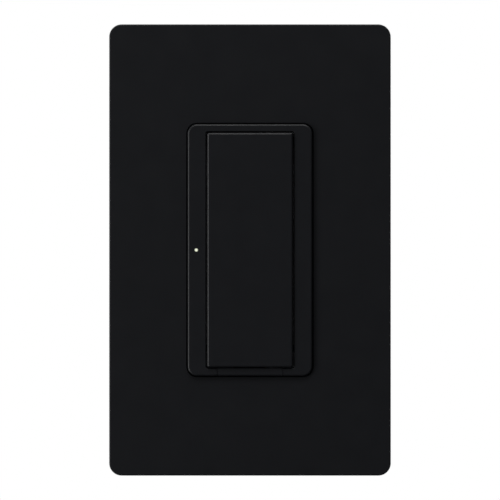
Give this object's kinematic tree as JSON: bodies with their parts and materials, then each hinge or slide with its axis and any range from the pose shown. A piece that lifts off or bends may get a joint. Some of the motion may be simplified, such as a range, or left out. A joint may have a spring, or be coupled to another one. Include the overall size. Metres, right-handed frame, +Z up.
{
  "type": "electronic wall tap switch",
  "caption": "Black single-gang wall switch: a large tap paddle in a rectangular bezel with a small status light and a pull-out service switch, in a screwless wallplate.",
  "frame": {"origin": "on the wall's surface, midway between the two box screws", "axes": "+X right as seen from the room, +Y into the wall, +Z up"},
  "size_m": [0.0746, 0.0383, 0.1194],
  "materials": {
    "plate_plastic": "moulded black plastic, very fine satin texture",
    "device_plastic": "moulded black plastic, very fine satin texture",
    "adapter_plastic": "plain moulded black plastic, unpolished tool finish",
    "housing_plastic": "glass-filled black plastic with a spark-eroded texture",
    "clear_plastic": "clear moulded plastic with a lightly frosted tip",
    "yoke_aluminium": "stamped sheet, fine rolling grain",
    "zinc_steel": "bright zinc plating",
    "fibre": "vulcanised fibre",
    "green_steel": "green dyed zinc plating",
    "spring_steel": "drawn stainless wire",
    "terminal_brass": "stamped and turned brass",
    "board_laminate": "glass laminate under solder mask",
    "chip_plastic": "moulded epoxy",
    "key_plastic": "moulded plastic",
    "led_lens": "clear epoxy",
    "small_part_ceramic": "ceramic with tinned ends",
    "pad_silicone": "filled silicone sheet",
    "rivet_aluminium": "as formed",
    "core_paint": "epoxy-coated powdered iron",
    "copper_wire": "enamelled copper wire",
    "film_box": "moulded capacitor box",
    "can_sleeve": "shrink sleeve",
    "varistor_coat": "dipped epoxy",
    "label_film": "blank printed film"
  },
  "bodies": {
    "switch_frame": {"adapter_screws": "zinc_steel", "bezel": "device_plastic", "box_screws": "zinc_steel", "choke_core": "core_paint", "choke_winding": "copper_wire", "circuit_board": "board_laminate", "controller_chip": "chip_plastic", "electrolytic_capacitor": "can_sleeve", "film_capacitor": "film_box", "ground_screw": "green_steel", "hot_terminal_plate": "terminal_brass", "hot_terminal_screw": "terminal_brass", "housing_screws": "zinc_steel", "insulator_sheet": "fibre", "key_switch_body": "chip_plastic", "light_pipe": "clear_plastic", "load_terminal_plate": "terminal_brass", "load_terminal_screw": "terminal_brass", "mounting_yoke": "yoke_aluminium", "paddle_spring": "spring_steel", "rating_label": "label_film", "rear_housing": "housing_plastic", "remote_terminal_plate": "terminal_brass", "remote_terminal_screw": "terminal_brass", "screw_washers": "fibre", "service_contacts": "terminal_brass", "status_led": "led_lens", "surface_mount_parts": "small_part_ceramic", "triac": "chip_plastic", "triac_pad": "pad_silicone", "triac_rivet": "rivet_aluminium", "varistor": "varistor_coat", "wallplate_adapter": "adapter_plastic"},
    "cover": {"wallplate": "plate_plastic"},
    "paddle": {"tap_paddle": "device_plastic"},
    "key": {"key_plunger": "key_plastic"},
    "service_switch": {"service_slider": "device_plastic", "contact_bridge": "terminal_brass"}
  },
  "joints": [
    {"name": "paddle_tap", "type": "hinge", "parent": "switch_frame", "child": "paddle", "pos_m": [0, -0.0055, 0.029], "axis": [1, 0, 0], "range_deg": [0, 0.73], "stiffness_Nm_per_rad": 0.5, "springref_deg": -4.58, "deforming": ["paddle_spring"]},
    {"name": "key_press", "type": "slide", "parent": "switch_frame", "child": "key", "axis": [0, 1, 0], "range_m": [0, 0.0005]},
    {"name": "service_pull", "type": "slide", "parent": "switch_frame", "child": "service_switch", "axis": [0, -1, 0], "range_m": [0, 0.004]},
    {"name": "wallplate_pull", "type": "slide", "parent": "switch_frame", "child": "cover", "axis": [0, -1, 0], "range_m": [0, 0.015]}
  ],
  "couplings": [
    {"joint": "key_press", "follows": "paddle_tap", "m_per_rad": 0.039}
  ]
}
